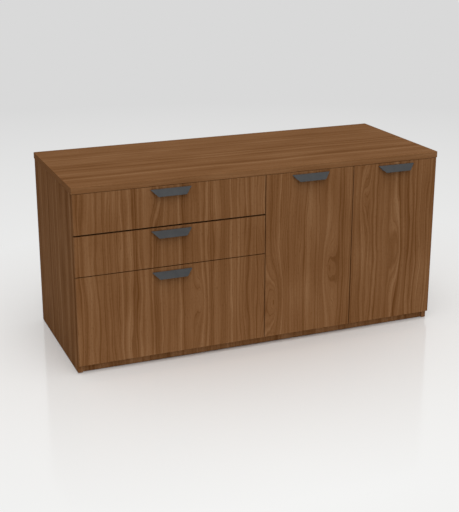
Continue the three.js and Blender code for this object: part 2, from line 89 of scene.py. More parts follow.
def length(millimetres, label, description):
    """A length property whose default is written in millimetres."""
    return bpy.props.FloatProperty(
        name=label, description=description, unit="LENGTH", subtype="DISTANCE",
        precision=5, min=0, default=millimetres * MM,
    )


class CredenzaFinishes(bpy.types.PropertyGroup):
    """Colours and grain of the finishes."""

    walnut_dark: colour("543112", "Walnut dark", "Late wood and pores of the walnut print")
    walnut_mid: colour("765234", "Walnut", "Body colour of the walnut print")
    walnut_light: colour("937050", "Walnut light", "Early wood of the walnut print")
    maple: colour("c4ab87", "Maple", "Body colour of the drawer boards")
    maple_dark: colour("a98e69", "Maple dark", "Grain of the drawer boards")
    charcoal: colour("424344", "Charcoal", "Powder coat of the pulls")
    zinc: colour("b4b8bc", "Zinc", "Bright zinc plating of the slides")
    nickel: colour("c3c0b8", "Nickel", "Nickel plating of hinges and shelf supports")
    nylon: colour("1d1d1f", "Nylon", "Black nylon of the levellers")
    silicone: colour("dde2e2", "Silicone", "Clear bumpers behind the fronts")
    front_band: length(22, "Front grain", "Distance between growth bands on the fronts")
    board_band: length(42, "Board grain", "Distance between growth bands on the top and the panels")
    wander: length(40, "Grain wander", "How far the bands stray from a straight line")
    figure_width: length(50, "Figure width", "Width of one bend of the bands")
    figure_length: length(300, "Figure length", "Length of one bend of the bands")
    fibre_width: length(1.8, "Fibre width", "Width of one streak of fibres")
    fibre_length: length(150, "Fibre length", "Length of one streak of fibres")
    pore_width: length(0.8, "Pore width", "Width of one pore")
    pore_length: length(15, "Pore length", "Length of one pore")


class CredenzaSizes(bpy.types.PropertyGroup):
    """Sizes of the small pieces that the frame doesn't hold."""

    pull_lower_width: length(108, "Pull lower width", "Width of a pull along its lower edge")
    pull_sheet: length(2.5, "Pull sheet", "Thickness of the sheet that a pull is folded from")
    pull_bend: length(3.5, "Pull bend", "Outer radius of a pull's fold")
    pull_leg: length(21, "Pull leg", "Height of the leg that lies on the front")
    pull_corner: length(3, "Pull corner", "Radius of the lower corners of a pull")
    pull_slope: bpy.props.FloatProperty(
        name="Pull slope", description="Angle of a pull's face below the horizontal",
        subtype="ANGLE", default=math.radians(52),
    )
    edge_round: length(0.35, "Edge round", "Broken edge of pressed steel and of the shelf")
    screw_head: length(7, "Screw head", "Diameter of a pan head")
    screw_rise: length(2, "Screw rise", "Height of a pan head")
    screw_slot: length(0.9, "Screw recess", "Width of an arm of the cross recess")
    pull_screw_spacing: length(96, "Pull screws", "Distance between the two screws of a pull")
    plate_screw_spacing: length(36, "Plate screws", "Distance between the two screws of a hinge plate")
    plate_thickness: length(4, "Plate", "Thickness of a hinge plate's wings")
    plate_place: length(25, "Plate place", "From the end of a hinge's arm to the middle of its plate")
    arm_screw_near: length(9, "Fixing screw", "From the end of a hinge's arm to its fixing screw")
    arm_screw_far: length(38, "Side screw", "From the end of a hinge's arm to its side adjustment")
    slide_sheet: length(1.2, "Slide sheet", "Thickness of the slides' rolled sheet")
    ball: length(3, "Ball", "Diameter of a slide's balls")
    ball_pitch: length(6, "Ball pitch", "Distance between balls in their cage")
    cage_width: length(4.2, "Cage width", "Width of the strip that holds the balls")
    cage_sheet: length(0.8, "Cage sheet", "Thickness of the strip that holds the balls")
    bumper: length(6.5, "Bumper", "Diameter of a bumper")
    bumper_rise: length(1.8, "Bumper rise", "Height of a bumper")
    thread_foot: length(6.2, "Thread foot", "Height of the lowest turn of a leveller's thread")
    thread_core: length(8.2, "Thread core", "Inner diameter of a leveller's thread")
    thread_crest: length(9.6, "Thread crest", "Outer diameter of a leveller's thread")
    thread_pitch: length(1.25, "Thread pitch", "Pitch of a leveller's thread")


def add_node(tree, kind, settings=None, **inputs):
    """Adds a node, sets its settings, and fills or links its inputs.

    An input goes by its name, with underscores for spaces, or by an underscore and its place.
    """
    node = tree.nodes.new(kind)
    for key, value in (settings or {}).items():
        setattr(node, key, value)
    for key, value in inputs.items():
        socket = node.inputs[int(key[1:])] if key[0] == "_" else node.inputs[key.replace("_", " ")]
        for item in value if isinstance(value, list) else [value]:
            if isinstance(item, bpy.types.NodeSocket):
                tree.links.new(item, socket)
            else:
                socket.default_value = item
    return node


def new_material(name):
    """An empty node material: its tree and the Principled shader that makes its surface."""
    material = bpy.data.materials.new(name)
    material.use_nodes = True
    tree = material.node_tree
    tree.nodes.clear()
    shader = add_node(tree, "ShaderNodeBsdfPrincipled")
    add_node(tree, "ShaderNodeOutputMaterial", Surface=shader.outputs["BSDF"])
    return material, tree, shader


def opaque(rgb):
    """A colour with full alpha."""
    return (*rgb, 1)


# Nearly all of a noise lies between its low and its high value.
NOISE_LOW = 0.3
NOISE_MIDDLE = 0.5
NOISE_HIGH = 0.7

RELIEF_STRENGTH = 0.3


def textured(tree, shader, tint, cloud, fine, shade, roughness, depth):
    """Gives a shader a tint that a slow pattern lightens and darkens by a share.

    A fine pattern moves its roughness between two values, and its relief by a depth in metres.
    """
    light = add_node(
        tree, "ShaderNodeMapRange", Value=cloud,
        From_Min=NOISE_LOW, From_Max=NOISE_HIGH, To_Min=1 - shade, To_Max=1 + shade,
    )
    paint = add_node(
        tree, "ShaderNodeVectorMath", {"operation": "SCALE"}, _0=tint, Scale=light.outputs["Result"]
    )
    dull = add_node(
        tree, "ShaderNodeMapRange", Value=fine,
        From_Min=NOISE_LOW, From_Max=NOISE_HIGH, To_Min=roughness[0], To_Max=roughness[1],
    )
    bump = add_node(tree, "ShaderNodeBump", Strength=RELIEF_STRENGTH, Distance=depth, Height=fine)
    tree.links.new(paint.outputs["Vector"], shader.inputs["Base Color"])
    tree.links.new(dull.outputs["Result"], shader.inputs["Roughness"])
    tree.links.new(bump.outputs["Normal"], shader.inputs["Normal"])


# Axes across, through and along the grain, by the way it runs, and the least lean of an end face.
GRAIN_ORDER = {"x": "YZX", "y": "ZXY", "z": "XYZ"}
END_FACE = 0.7


def grain_space(tree, along):
    """Object coordinates in metres, turned so that Z runs along the grain.

    On a board's ends the grain of the banded edge runs along the edge instead.
    """
    coordinates = add_node(tree, "ShaderNodeTexCoord")
    place = add_node(tree, "ShaderNodeSeparateXYZ", Vector=coordinates.outputs["Object"])
    facing = add_node(tree, "ShaderNodeSeparateXYZ", Vector=coordinates.outputs["Normal"])
    across, through, lengthwise = [place.outputs[axis] for axis in GRAIN_ORDER[along]]
    board = add_node(tree, "ShaderNodeCombineXYZ", X=across, Y=through, Z=lengthwise)
    band = add_node(tree, "ShaderNodeCombineXYZ", X=lengthwise, Y=through, Z=across)
    lean = add_node(tree, "ShaderNodeMath", {"operation": "ABSOLUTE"}, _0=facing.outputs[along.upper()])
    is_end = add_node(
        tree, "ShaderNodeMath", {"operation": "GREATER_THAN"}, _0=lean.outputs[0], _1=END_FACE
    )
    mixed = add_node(
        tree, "ShaderNodeMix", {"data_type": "VECTOR"},
        _0=is_end.outputs[0], _4=board.outputs[0], _5=band.outputs[0],
    )
    return mixed.outputs[1]


# Pores, rub marks and nylon's grain are too fine to show at their real size, so they are coarser.
def stretched_noise(tree, space, width, along, shift=0, detail=2.0):
    """Noise whose features are one width across the grain and one length along it."""
    scaled = add_node(
        tree, "ShaderNodeMapping", Vector=space, Location=(shift, shift, shift),
        Scale=(1 / width, 1 / width, 1 / along),
    )
    noise = add_node(tree, "ShaderNodeTexNoise", Vector=scaled.outputs[0], Scale=1, Detail=detail)
    return noise.outputs["Fac"]


# Octaves of the bands' bend and of their own tone, and how much each octave keeps of the one before.
BEND_DETAIL = 2.0
BAND_DETAIL = 2.0
BAND_ROUGHNESS = 0.7

# Cathedral figures of the fronts: centre across and up, half width and length in mm, bands added.
FRONT_FIGURES = (
    (-430, 650, 70, 240, -1.6),
    (-270, 230, 60, 300, -2.4),
    (40, 180, 75, 300, -3.4),
    (282, 290, 62, 260, 2.8),
    (430, 560, 50, 240, 1.8),
    (590, 330, 60, 320, -2.6),
)


def growth_bands(tree, space, pitch, shift, figures):
    """A count of growth bands across a board, which wanders along the grain and swells into cathedrals."""
    finishes = bpy.context.scene.credenza_finishes
    bend = stretched_noise(tree, space, finishes.figure_width, finishes.figure_length, shift, BEND_DETAIL)
    across = add_node(tree, "ShaderNodeVectorMath", {"operation": "DOT_PRODUCT"}, _0=space, _1=(1, 1, 0))
    bent = add_node(
        tree, "ShaderNodeMath", {"operation": "MULTIPLY_ADD"},
        _0=bend, _1=finishes.wander, _2=across.outputs["Value"],
    )
    count = add_node(tree, "ShaderNodeMath", {"operation": "DIVIDE"}, _0=bent.outputs[0], _1=pitch)
    for x, z, half_width, half_length, bands in figures:
        swell = add_node(
            tree, "ShaderNodeMapping", Vector=space,
            Location=(-x / half_width, 0, -z / half_length),
            Scale=(1 / (half_width * MM), 0, 1 / (half_length * MM)),
        )
        dome = add_node(
            tree, "ShaderNodeTexGradient", {"gradient_type": "QUADRATIC_SPHERE"}, Vector=swell.outputs[0]
        )
        count = add_node(
            tree, "ShaderNodeMath", {"operation": "MULTIPLY_ADD"},
            _0=dome.outputs["Fac"], _1=bands, _2=count.outputs[0],
        )
    return count.outputs[0]


# Shares of the walnut's tone.
BAND_SHARE = 0.5
FIBRE_SHARE = 0.22
CLOUD_SHARE = 0.28

# Veins against bands, what a vein takes from the tone, and how far off the middle value it fades.
VEIN_RATE = 1.3
VEIN_DETAIL = 1.0
VEIN_DEPTH = 0.13
VEIN_SPREAD = 0.04

# Where in its noise a pore begins and is full, and how dark it is.
PORE_START = 0.64
PORE_END = 0.74
PORE_TINT = 0.4

# The pressed skin: its gloss, its roughness in the pores and on the fibres, and its relief.
LAMINATE_SHEEN = 0.001
LAMINATE_ROUGHNESS = (0.56, 0.44)
LAMINATE_RELIEF = 0.06 * MM

# How strongly the bands show on each kind of board.
TOP_CONTRAST = 0.46
FRONT_CONTRAST = 0.63
PANEL_CONTRAST = 0.66

# Where in the endless print each kind of board is cut from.
TOP_CUT = 21.7
FRONT_CUT = 17.3
PANEL_CUTS = {"x": 31.0, "z": 83.9}


def walnut_laminate(name, along, pitch, contrast, shift, figures=()):
    """Walnut-print laminate, pressed matt: brown bands with thin dark veins, fibres and sunken pores."""
    finishes = bpy.context.scene.credenza_finishes
    material, tree, shader = new_material(name)
    space = grain_space(tree, along)
    count = growth_bands(tree, space, pitch, shift, figures)
    bands = add_node(
        tree, "ShaderNodeTexNoise", {"noise_dimensions": "1D"},
        W=count, Scale=1, Detail=BAND_DETAIL, Roughness=BAND_ROUGHNESS,
    )
    veins = add_node(
        tree, "ShaderNodeTexNoise", {"noise_dimensions": "1D"},
        W=count, Scale=VEIN_RATE, Detail=VEIN_DETAIL,
    )
    cloud_width = 2 * finishes.figure_width
    fibre = stretched_noise(tree, space, finishes.fibre_width, finishes.fibre_length, shift)
    cloud = stretched_noise(tree, space, cloud_width, finishes.figure_length, -shift, detail=1.0)
    pores = stretched_noise(tree, space, finishes.pore_width, finishes.pore_length, shift, detail=0.0)

    # A vein lies where its noise crosses the middle value.
    off = add_node(
        tree, "ShaderNodeMath", {"operation": "SUBTRACT"}, _0=veins.outputs["Fac"], _1=NOISE_MIDDLE
    )
    off = add_node(tree, "ShaderNodeMath", {"operation": "ABSOLUTE"}, _0=off.outputs[0])
    vein = add_node(
        tree, "ShaderNodeMapRange", {"interpolation_type": "SMOOTHSTEP"}, Value=off.outputs[0],
        From_Min=0.0, From_Max=VEIN_SPREAD, To_Min=-VEIN_DEPTH, To_Max=0.0,
    )

    # Bands carry half of the tone, fibres and slow clouds the rest.
    tone = vein.outputs["Result"]
    for pattern, share in (
        (bands.outputs["Fac"], BAND_SHARE), (fibre, FIBRE_SHARE), (cloud, CLOUD_SHARE)
    ):
        tone = add_node(
            tree, "ShaderNodeMath", {"operation": "MULTIPLY_ADD"}, _0=pattern, _1=share, _2=tone
        ).outputs[0]
    ramp = add_node(tree, "ShaderNodeValToRGB", Fac=tone)
    stops = ramp.color_ramp.elements
    reach = (NOISE_HIGH - NOISE_LOW) / 2 / contrast
    stops[0].position = NOISE_MIDDLE - reach
    stops[0].color = opaque(finishes.walnut_dark)
    stops[1].position = NOISE_MIDDLE + reach
    stops[1].color = opaque(finishes.walnut_light)
    stops.new(NOISE_MIDDLE).color = opaque(finishes.walnut_mid)

    # Pores are darker and lie below the pressed face.
    is_pore = add_node(
        tree, "ShaderNodeMapRange", {"interpolation_type": "SMOOTHSTEP"}, Value=pores,
        From_Min=PORE_START, From_Max=PORE_END,
    )
    pore = add_node(
        tree, "ShaderNodeMath", {"operation": "MULTIPLY"}, _0=is_pore.outputs["Result"], _1=PORE_TINT
    )
    face = add_node(
        tree, "ShaderNodeMix", {"data_type": "RGBA"}, _0=pore.outputs[0],
        _6=ramp.outputs["Color"], _7=opaque(finishes.walnut_dark),
    )
    skin = add_node(
        tree, "ShaderNodeMath", {"operation": "SUBTRACT"}, _0=fibre, _1=is_pore.outputs["Result"]
    )
    textured(
        tree, shader, face.outputs[2], cloud, skin.outputs[0],
        shade=0, roughness=LAMINATE_ROUGHNESS, depth=LAMINATE_RELIEF,
    )
    shader.inputs["Specular IOR Level"].default_value = LAMINATE_SHEEN
    return material


# Where in its noise the maple's grain gives way to its body colour.
MAPLE_BODY = 0.55


def maple_melamine(name, along):
    """Maple-print melamine: a pale, even face with faint lengthwise grain and a fine pressed texture."""
    finishes = bpy.context.scene.credenza_finishes
    material, tree, shader = new_material(name)
    space = grain_space(tree, along)
    grain = stretched_noise(tree, space, width=9 * MM, along=400 * MM, shift=3, detail=3.0)
    flake = stretched_noise(tree, space, width=0.9 * MM, along=6 * MM, shift=5, detail=0.0)
    ramp = add_node(tree, "ShaderNodeValToRGB", Fac=grain)
    stops = ramp.color_ramp.elements
    stops[0].position = NOISE_LOW
    stops[0].color = opaque(finishes.maple_dark)
    stops[1].position = MAPLE_BODY
    stops[1].color = opaque(finishes.maple)
    textured(
        tree, shader, ramp.outputs["Color"], flake, flake,
        shade=0.05, roughness=(0.6, 0.5), depth=0.03 * MM,
    )
    shader.inputs["Specular IOR Level"].default_value = 0.2
    return material


def powder_coat(name):
    """Charcoal powder coat on steel: a satin paint whose skin has the fine orange peel of fused powder."""
    finishes = bpy.context.scene.credenza_finishes
    material, tree, shader = new_material(name)
    space = add_node(tree, "ShaderNodeTexCoord").outputs["Object"]
    cloud = stretched_noise(tree, space, width=30 * MM, along=30 * MM)
    peel = stretched_noise(tree, space, width=1.2 * MM, along=1.2 * MM)
    textured(
        tree, shader, finishes.charcoal, cloud, peel, shade=0.07, roughness=(0.45, 0.6), depth=0.05 * MM
    )
    shader.inputs["Specular IOR Level"].default_value = 0.15
    return material


# The share of a plating that mirrors; the rest is its milky skin.
PLATING_MIRROR = 0.72


def plated_steel(name, tint, rub_axis):
    """Plated steel: satin metal with a milky skin, a cloudy bath tint and fine rub marks along one axis."""
    material, tree, shader = new_material(name)
    shader.inputs["Metallic"].default_value = PLATING_MIRROR
    space = grain_space(tree, rub_axis)
    cloud = stretched_noise(tree, space, width=30 * MM, along=50 * MM, shift=7)
    rubs = stretched_noise(tree, space, width=0.8 * MM, along=60 * MM, shift=2, detail=1.0)
    textured(tree, shader, tint, cloud, rubs, shade=0.09, roughness=(0.3, 0.46), depth=0.015 * MM)
    return material


def moulded_nylon(name):
    """Black nylon: dull moulded plastic with a fine spark-eroded grain."""
    finishes = bpy.context.scene.credenza_finishes
    material, tree, shader = new_material(name)
    space = add_node(tree, "ShaderNodeTexCoord").outputs["Object"]
    grain = stretched_noise(tree, space, width=0.7 * MM, along=0.7 * MM, detail=1.0)
    textured(
        tree, shader, finishes.nylon, grain, grain, shade=0.15, roughness=(0.5, 0.62), depth=0.05 * MM
    )
    return material


def clear_silicone(name):
    """Clear silicone: a soft, slightly cloudy dot that lets the board behind it show."""
    finishes = bpy.context.scene.credenza_finishes
    material, tree, shader = new_material(name)
    space = add_node(tree, "ShaderNodeTexCoord").outputs["Object"]
    haze = stretched_noise(tree, space, width=2 * MM, along=2 * MM, detail=1.0)
    textured(
        tree, shader, finishes.silicone, haze, haze, shade=0.05, roughness=(0.25, 0.4), depth=0.02 * MM
    )
    shader.inputs["Transmission Weight"].default_value = 0.6
    shader.inputs["IOR"].default_value = 1.41
    return material


def material_named(name, make, *values):
    """A material by name, made at its first use."""
    return bpy.data.materials.get(name) or make(name, *values)


def panel_walnut(along):
    """The walnut of carcass boards whose grain runs along an axis."""
    pitch = bpy.context.scene.credenza_finishes.board_band
    name = f"walnut_laminate_panels_{along}"
    return material_named(name, walnut_laminate, along, pitch, PANEL_CONTRAST, PANEL_CUTS[along])


def zinc_steel():
    """The bright zinc plate of slides and screws, rubbed along the drawers' travel."""
    tint = bpy.context.scene.credenza_finishes.zinc
    return material_named("zinc_plated_steel", plated_steel, tint, "y")


def nickel_steel():
    """The nickel plate of hinges and shelf supports."""
    tint = bpy.context.scene.credenza_finishes.nickel
    return material_named("nickel_plated_steel", plated_steel, tint, "z")


def finish_nodes(material, names):
    """Gives CAD nodes a material."""
    for name in names:
        mesh = NODES[name].data
        mesh.materials.clear()
        mesh.materials.append(material)


def new_piece(name, mesh, body):
    """An object at the origin that moves with a body."""
    piece = bpy.data.objects.new(name, mesh)
    bpy.context.scene.collection.objects.link(piece)
    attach(piece, body)
    return piece


def stand_in(node, mesh, slot, *materials):
    """Shows a mesh in place of a CAD node, as a piece of the mesh's name on the node's body."""
    for material in materials:
        mesh.materials.append(material)
    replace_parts(new_piece(mesh.name, mesh, BODY_OF[node]), node)


# Angles where shading breaks, where two faces are one and where an edge is rounded, and the gap
# below which corners are one.
CREASE = math.radians(35)
FLAT = math.radians(0.5)
SHARP = math.radians(40)
WELD = 0.002 * MM


def smooth_mesh(mesh):
    """Shades a mesh smooth, except where faces meet at a crease."""
    mesh.polygons.foreach_set("use_smooth", [True] * len(mesh.polygons))
    mesh.set_sharp_from_angle(angle=CREASE)
    return mesh


def merged_copy(node):
    """A CAD node's shape as one closed bmesh of whole faces."""
    shape = bmesh.new()
    shape.from_mesh(NODES[node].data)
    bmesh.ops.remove_doubles(shape, verts=shape.verts, dist=WELD)
    bmesh.ops.dissolve_limit(shape, angle_limit=FLAT, verts=shape.verts, edges=shape.edges)
    return shape


def mesh_of(shape, name):
    """Turns a bmesh into a smooth mesh."""
    mesh = bpy.data.meshes.new(name)
    shape.to_mesh(mesh)
    shape.free()
    return smooth_mesh(mesh)


def rounded(shape, name, width, segments=2):
    """Turns a bmesh into a smooth mesh whose sharp edges are rounded by a width."""
    sharp = [edge for edge in shape.edges if edge.is_manifold and edge.calc_face_angle() > SHARP]
    bmesh.ops.bevel(
        shape, geom=sharp, offset=width, offset_type="OFFSET", segments=segments,
        profile=0.5, affect="EDGES", clamp_overlap=True,
    )
    return mesh_of(shape, name)


def centre_of(low, high):
    """The middle of a box."""
    return (low + high) / 2


def points_mesh(name, places):
    """Loose points, each with the direction that it faces."""
    mesh = bpy.data.meshes.new(name)
    mesh.from_pydata([place for place, _ in places], [], [])
    facing = mesh.attributes.new("facing", "FLOAT_VECTOR", "POINT")
    facing.data.foreach_set("vector", [value for _, direction in places for value in direction])
    return mesh


def new_tree(name, lengths):
    """A geometry tree with a geometry input, length inputs, a material input and a geometry output."""
    tree = bpy.data.node_groups.new(name, "GeometryNodeTree")
    tree.interface.new_socket("Points", in_out="INPUT", socket_type="NodeSocketGeometry")
    for label in lengths:
        socket = tree.interface.new_socket(label, in_out="INPUT", socket_type="NodeSocketFloat")
        socket.subtype = "DISTANCE"
    tree.interface.new_socket("Material", in_out="INPUT", socket_type="NodeSocketMaterial")
    tree.interface.new_socket("Geometry", in_out="OUTPUT", socket_type="NodeSocketGeometry")
    return tree, add_node(tree, "NodeGroupInput")


# The seed of the screws' angles.
SCREW_SEED = 7


def place_on_points(tree, source, shape, turned=False):
    """Sets a shape on every point, with its Z along the point's facing, and ends the tree.

    Turned shapes each lie at their own angle around that facing.
    """
    facing = add_node(tree, "GeometryNodeInputNamedAttribute", {"data_type": "FLOAT_VECTOR"}, Name="facing")
    turn = add_node(
        tree, "FunctionNodeAlignRotationToVector", {"axis": "Z"}, Vector=facing.outputs["Attribute"]
    )
    copies = add_node(
        tree, "GeometryNodeInstanceOnPoints", Points=source.outputs["Points"], Instance=shape,
        Rotation=turn.outputs["Rotation"],
    ).outputs["Instances"]
    if turned:
        angle = add_node(
            tree, "FunctionNodeRandomValue", {"data_type": "FLOAT"}, _3=math.tau, Seed=SCREW_SEED
        )
        spin = add_node(tree, "ShaderNodeCombineXYZ", Z=angle.outputs[1])
        copies = add_node(
            tree, "GeometryNodeRotateInstances", Instances=copies, Rotation=spin.outputs[0]
        ).outputs["Instances"]
    whole = add_node(tree, "GeometryNodeRealizeInstances", Geometry=copies)
    coated = add_node(
        tree, "GeometryNodeSetMaterial",
        Geometry=whole.outputs["Geometry"], Material=source.outputs["Material"],
    )
    add_node(tree, "NodeGroupOutput", Geometry=coated.outputs["Geometry"])
    return tree


# The share of a screw's head that its cross recess spans.
RECESS_LENGTH = 0.55


def screw_tree():
    """Pan-head screws: a dome with a cross recess on each point."""
    tree, source = new_tree("pan_head_screws", ("Head", "Rise", "Recess"))
    head, rise, recess = [source.outputs[name] for name in ("Head", "Rise", "Recess")]
    radius, twice, drop, arm = [
        add_node(tree, "ShaderNodeMath", {"operation": "MULTIPLY"}, _0=head, _1=share).outputs[0]
        for share in (0.5, 2, -1, RECESS_LENGTH)
    ]
    ball = add_node(tree, "GeometryNodeMeshUVSphere", Segments=24, Rings=12, Radius=radius)
    flatter = add_node(tree, "ShaderNodeMath", {"operation": "DIVIDE"}, _0=rise, _1=radius)
    squeeze = add_node(tree, "ShaderNodeCombineXYZ", X=1.0, Y=1.0, Z=flatter.outputs[0])
    dome = add_node(
        tree, "GeometryNodeTransform", Geometry=ball.outputs["Mesh"], Scale=squeeze.outputs[0]
    )

    # One block takes the lower half away, and two bars the cross.
    cutters = []
    for x, y, z, lift in ((twice, twice, twice, drop), (arm, recess, rise, rise), (recess, arm, rise, rise)):
        size = add_node(tree, "ShaderNodeCombineXYZ", X=x, Y=y, Z=z)
        block = add_node(tree, "GeometryNodeMeshCube", Size=size.outputs[0])
        place = add_node(tree, "ShaderNodeCombineXYZ", Z=lift)
        block = add_node(
            tree, "GeometryNodeTransform", Geometry=block.outputs["Mesh"], Translation=place.outputs[0]
        )
        cutters.append(block.outputs["Geometry"])
    cut = add_node(
        tree, "GeometryNodeMeshBoolean", {"operation": "DIFFERENCE"}, _0=dome.outputs["Geometry"], _1=cutters
    )
    return place_on_points(tree, source, cut.outputs["Mesh"], turned=True)


def ball_tree():
    """Bearing balls, each in its own cell of a pressed cage strip."""
    tree, source = new_tree("caged_balls", ("Radius", "Pitch", "Cage", "Sheet"))
    ball = add_node(
        tree, "GeometryNodeMeshUVSphere", Segments=16, Rings=8, Radius=source.outputs["Radius"]
    )
    strip_size = add_node(
        tree, "ShaderNodeCombineXYZ",
        X=source.outputs["Cage"], Y=source.outputs["Pitch"], Z=source.outputs["Sheet"],
    )
    strip = add_node(tree, "GeometryNodeMeshCube", Size=strip_size.outputs[0])
    cell = add_node(tree, "GeometryNodeJoinGeometry", Geometry=[ball.outputs["Mesh"], strip.outputs["Mesh"]])
    return place_on_points(tree, source, cell.outputs["Geometry"])


# The share of a bumper's width that is flat on top.
BUMPER_SHOULDER = 0.72


def bumper_tree():
    """Bumpers: a low, flat-topped dot on each point."""
    tree, source = new_tree("bumper_dots", ("Radius", "Rise"))
    radius = source.outputs["Radius"]
    shoulder = add_node(
        tree, "ShaderNodeMath", {"operation": "MULTIPLY"}, _0=radius, _1=BUMPER_SHOULDER
    )
    dot = add_node(
        tree, "GeometryNodeMeshCone", Vertices=20, Side_Segments=1, Fill_Segments=1,
        Radius_Top=shoulder.outputs[0], Radius_Bottom=radius, Depth=source.outputs["Rise"],
    )
    return place_on_points(tree, source, dot.outputs["Mesh"])


def thread_tree():
    """Screw thread: one sharp ring, made of two closed cones, on each point."""
    tree, source = new_tree("thread_rings", ("Core", "Crest", "Rise"))
    core, crest, rise = [source.outputs[name] for name in ("Core", "Crest", "Rise")]
    lower, upper = [
        add_node(tree, "GeometryNodeMeshCone", Vertices=24, Radius_Top=top, Radius_Bottom=foot, Depth=rise)
        for top, foot in ((crest, core), (core, crest))
    ]
    lift = add_node(tree, "ShaderNodeCombineXYZ", Z=rise)
    upper = add_node(
        tree, "GeometryNodeTransform", Geometry=upper.outputs["Mesh"], Translation=lift.outputs[0]
    )
    ring = add_node(
        tree, "GeometryNodeJoinGeometry", Geometry=[lower.outputs["Mesh"], upper.outputs["Geometry"]]
    )
    return place_on_points(tree, source, ring.outputs["Geometry"])


def grown(name, tree, places, sizes, material, body):
    """Runs a tree on points and keeps what it makes as one plain mesh that moves with a body."""
    holder = bpy.data.objects.new(name, points_mesh(name + "_points", places))
    bpy.context.scene.collection.objects.link(holder)
    modifier = holder.modifiers.new("nodes", "NODES")
    modifier.node_group = tree
    values = {**sizes, "Material": material}
    for item in tree.interface.items_tree:
        if item.in_out == "INPUT" and item.name in values:
            modifier[item.identifier] = values[item.name]
    graph = bpy.context.evaluated_depsgraph_get()
    mesh = bpy.data.meshes.new_from_object(holder.evaluated_get(graph))
    if not mesh.polygons:
        raise RuntimeError(f"{name} came out empty")
    bpy.data.objects.remove(holder)
    mesh.name = name
    new_piece(name, smooth_mesh(mesh), body)


def screws(name, places, material, body):
    """Pan-head screws at places, as one piece."""
    sizes = bpy.context.scene.credenza_sizes
    tree = bpy.data.node_groups.get("pan_head_screws") or screw_tree()
    values = {"Head": sizes.screw_head, "Rise": sizes.screw_rise, "Recess": sizes.screw_slot}
    grown(name, tree, places, values, material, body)


class CREDENZA_OT_boards(bpy.types.Operator):
    """Finishes the top, the fronts, the carcass and the base in walnut laminate"""

    bl_idname = "credenza.boards"
    bl_label = "Walnut boards"

    def execute(self, context):
        finishes = context.scene.credenza_finishes
        upright = ["left_end_panel", "right_end_panel", "centre_divider", "back_panel"]
        top = material_named(
            "walnut_laminate_top", walnut_laminate, "x", finishes.board_band, TOP_CONTRAST, TOP_CUT
        )
        fronts = material_named(
            "walnut_laminate_fronts", walnut_laminate, "z", finishes.front_band, FRONT_CONTRAST, FRONT_CUT,
            FRONT_FIGURES,
        )
        finish_nodes(top, ["top_panel"])
        finish_nodes(fronts, FRONTS)
        finish_nodes(panel_walnut("z"), upright + ["toe_kick_rail"])
        finish_nodes(panel_walnut("x"), ["cabinet_floor"])
        return {"FINISHED"}


class CREDENZA_OT_shelf(bpy.types.Operator):
    """Rebuilds the shelf with walnut faces and plated supports"""

    bl_idname = "credenza.shelf"
    bl_label = "Shelf and supports"

    def execute(self, context):
        sizes = context.scene.credenza_sizes
        floor_low, floor_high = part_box("cabinet_floor")
        shelf_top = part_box("adjustable_shelf")[1].z
        underside = shelf_top - (floor_high.z - floor_low.z)
        mesh = rounded(merged_copy("adjustable_shelf"), "shelf_on_supports", sizes.edge_round)
        stand_in("adjustable_shelf", mesh, "walnut_panel", panel_walnut("x"), nickel_steel())
        for face in mesh.polygons:
            face.material_index = int(face.center.z < underside - sizes.edge_round / 2)
        return {"FINISHED"}


class CREDENZA_OT_drawer_boxes(bpy.types.Operator):
    """Finishes the drawer boxes in maple melamine"""

    bl_idname = "credenza.drawer_boxes"
    bl_label = "Drawer boxes"

    def execute(self, context):
        deep = material_named("maple_melamine_sides", maple_melamine, "y")
        wide = material_named("maple_melamine_backs", maple_melamine, "x")
        for row in DRAWERS:
            finish_nodes(deep, [f"{row}_drawer_left_side", f"{row}_drawer_right_side"])
            finish_nodes(wide, [f"{row}_drawer_back", f"{row}_drawer_bottom"])
        return {"FINISHED"}


